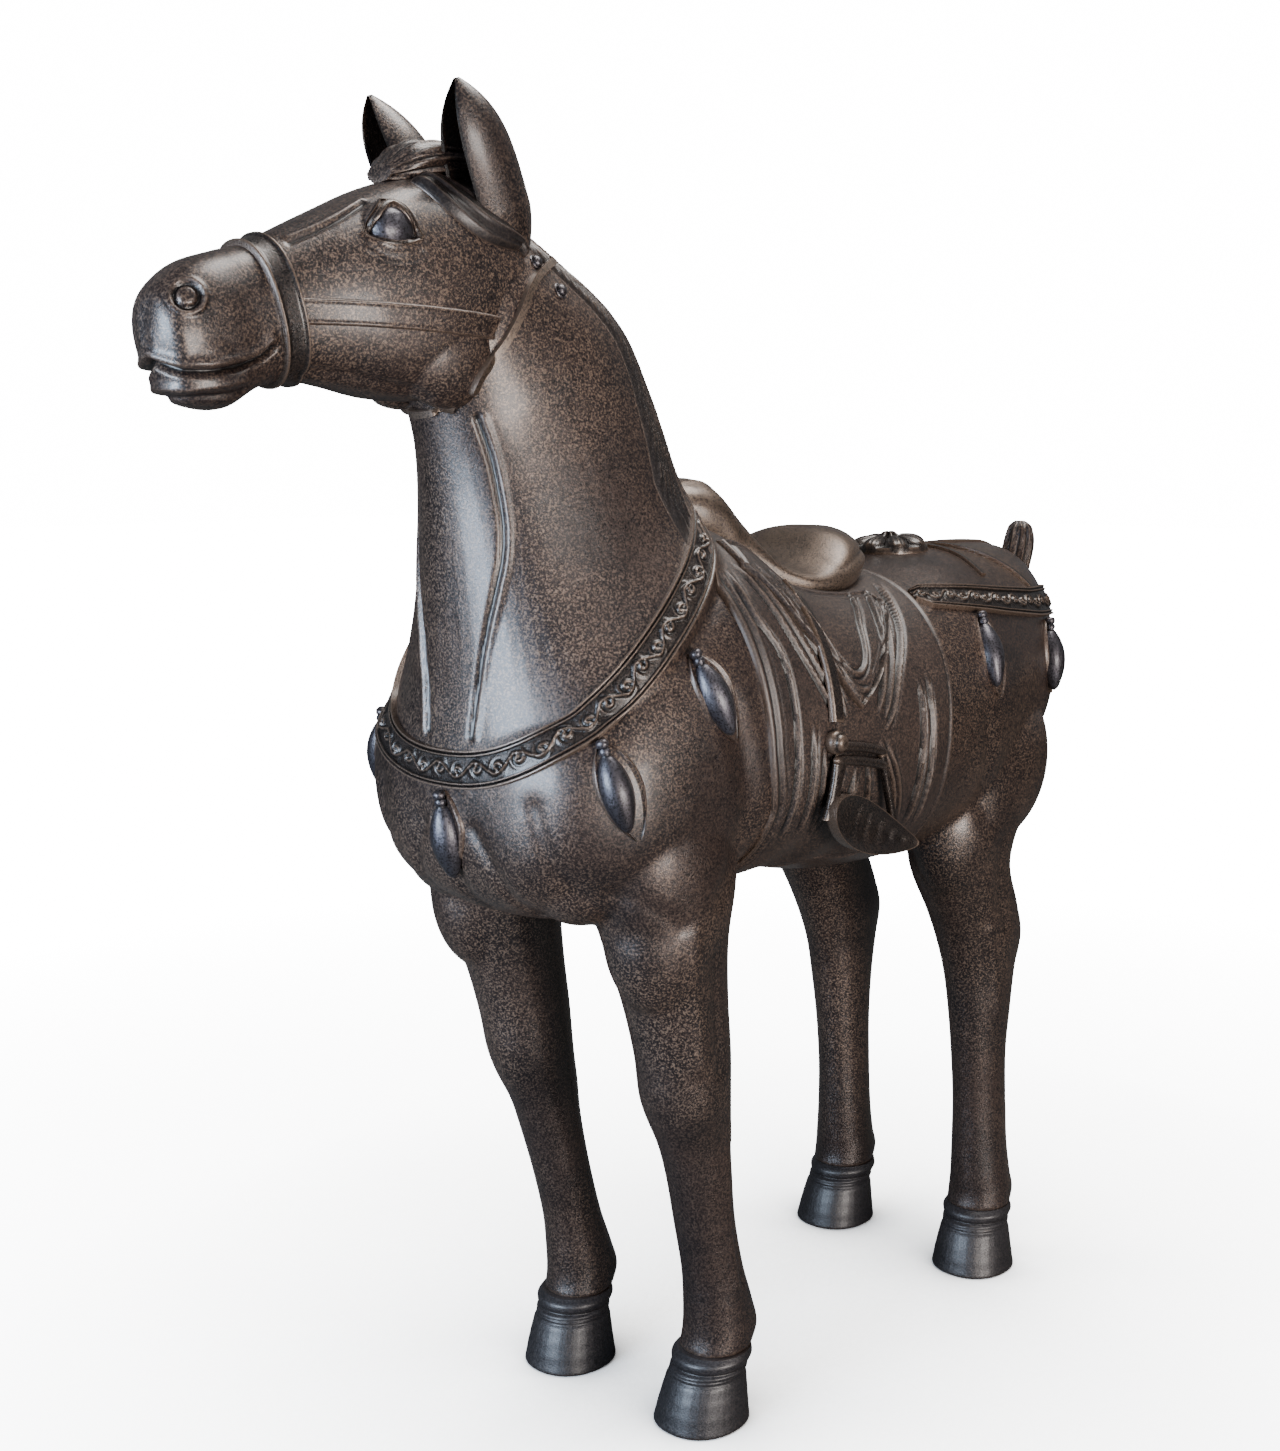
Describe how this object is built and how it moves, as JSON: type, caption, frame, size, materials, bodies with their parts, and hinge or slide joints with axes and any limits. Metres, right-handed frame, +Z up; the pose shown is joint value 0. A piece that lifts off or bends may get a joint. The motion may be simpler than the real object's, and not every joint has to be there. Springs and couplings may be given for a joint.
{
  "type": "horse statue",
  "caption": "Life-size standing horse statue in hollow cast bronze with saddle, bridle, breast collar and hanging tassels, welded round a steel armature, bolted down through the hooves.",
  "frame": {"origin": "on the floor, at the centre of the rectangle of the four hoof anchor holes", "axes": "+X forwards to the muzzle, +Y to the horse's left, +Z up"},
  "size_m": [1.911, 0.6428, 1.9013],
  "materials": {
    "bronze": "dark brown patina, satin",
    "bronze_dark": "near-black patina, semi-gloss",
    "steel": "mill finish"
  },
  "bodies": {
    "root": {"head_casting": "bronze", "neck_casting": "bronze", "chest_casting": "bronze", "barrel_casting": "bronze", "rump_casting": "bronze", "mane_crest": "bronze_dark", "forelock": "bronze_dark", "tail_stub": "bronze_dark", "noseband": "bronze_dark", "throatlatch": "bronze_dark", "bridle_studs": "bronze_dark", "saddle_seat": "bronze", "saddle_cloth": "bronze", "croup_rosette": "bronze_dark", "crupper_straps": "bronze_dark", "breeching_band": "bronze_dark", "breast_collar": "bronze_dark", "tassel_breast_centre": "bronze_dark", "armature_spine": "steel", "armature_neck_tube": "steel", "armature_front_yoke": "steel", "armature_rear_yoke": "steel", "ear_left": "bronze", "ear_right": "bronze", "eye_left": "bronze_dark", "eye_right": "bronze_dark", "cheek_strap_left": "bronze_dark", "cheek_strap_right": "bronze_dark", "saddle_flap_left": "bronze", "saddle_flap_right": "bronze", "stirrup_leather_left": "bronze_dark", "stirrup_leather_right": "bronze_dark", "stirrup_left": "bronze_dark", "stirrup_right": "bronze_dark", "foreleg_left": "bronze", "foreleg_right": "bronze", "hind_leg_left": "bronze", "hind_leg_right": "bronze", "front_hoof_left": "bronze_dark", "front_hoof_right": "bronze_dark", "hind_hoof_left": "bronze_dark", "hind_hoof_right": "bronze_dark", "front_sole_plate_left": "steel", "front_sole_plate_right": "steel", "hind_sole_plate_left": "steel", "hind_sole_plate_right": "steel", "front_leg_tube_left": "steel", "front_leg_tube_right": "steel", "hind_leg_tube_left": "steel", "hind_leg_tube_right": "steel", "tassel_breast_left": "bronze_dark", "tassel_breast_right": "bronze_dark", "tassel_shoulder_left": "bronze_dark", "tassel_shoulder_right": "bronze_dark", "tassel_hip_left": "bronze_dark", "tassel_hip_right": "bronze_dark", "tassel_rump_left": "bronze_dark", "tassel_rump_right": "bronze_dark"}
  },
  "joints": []
}
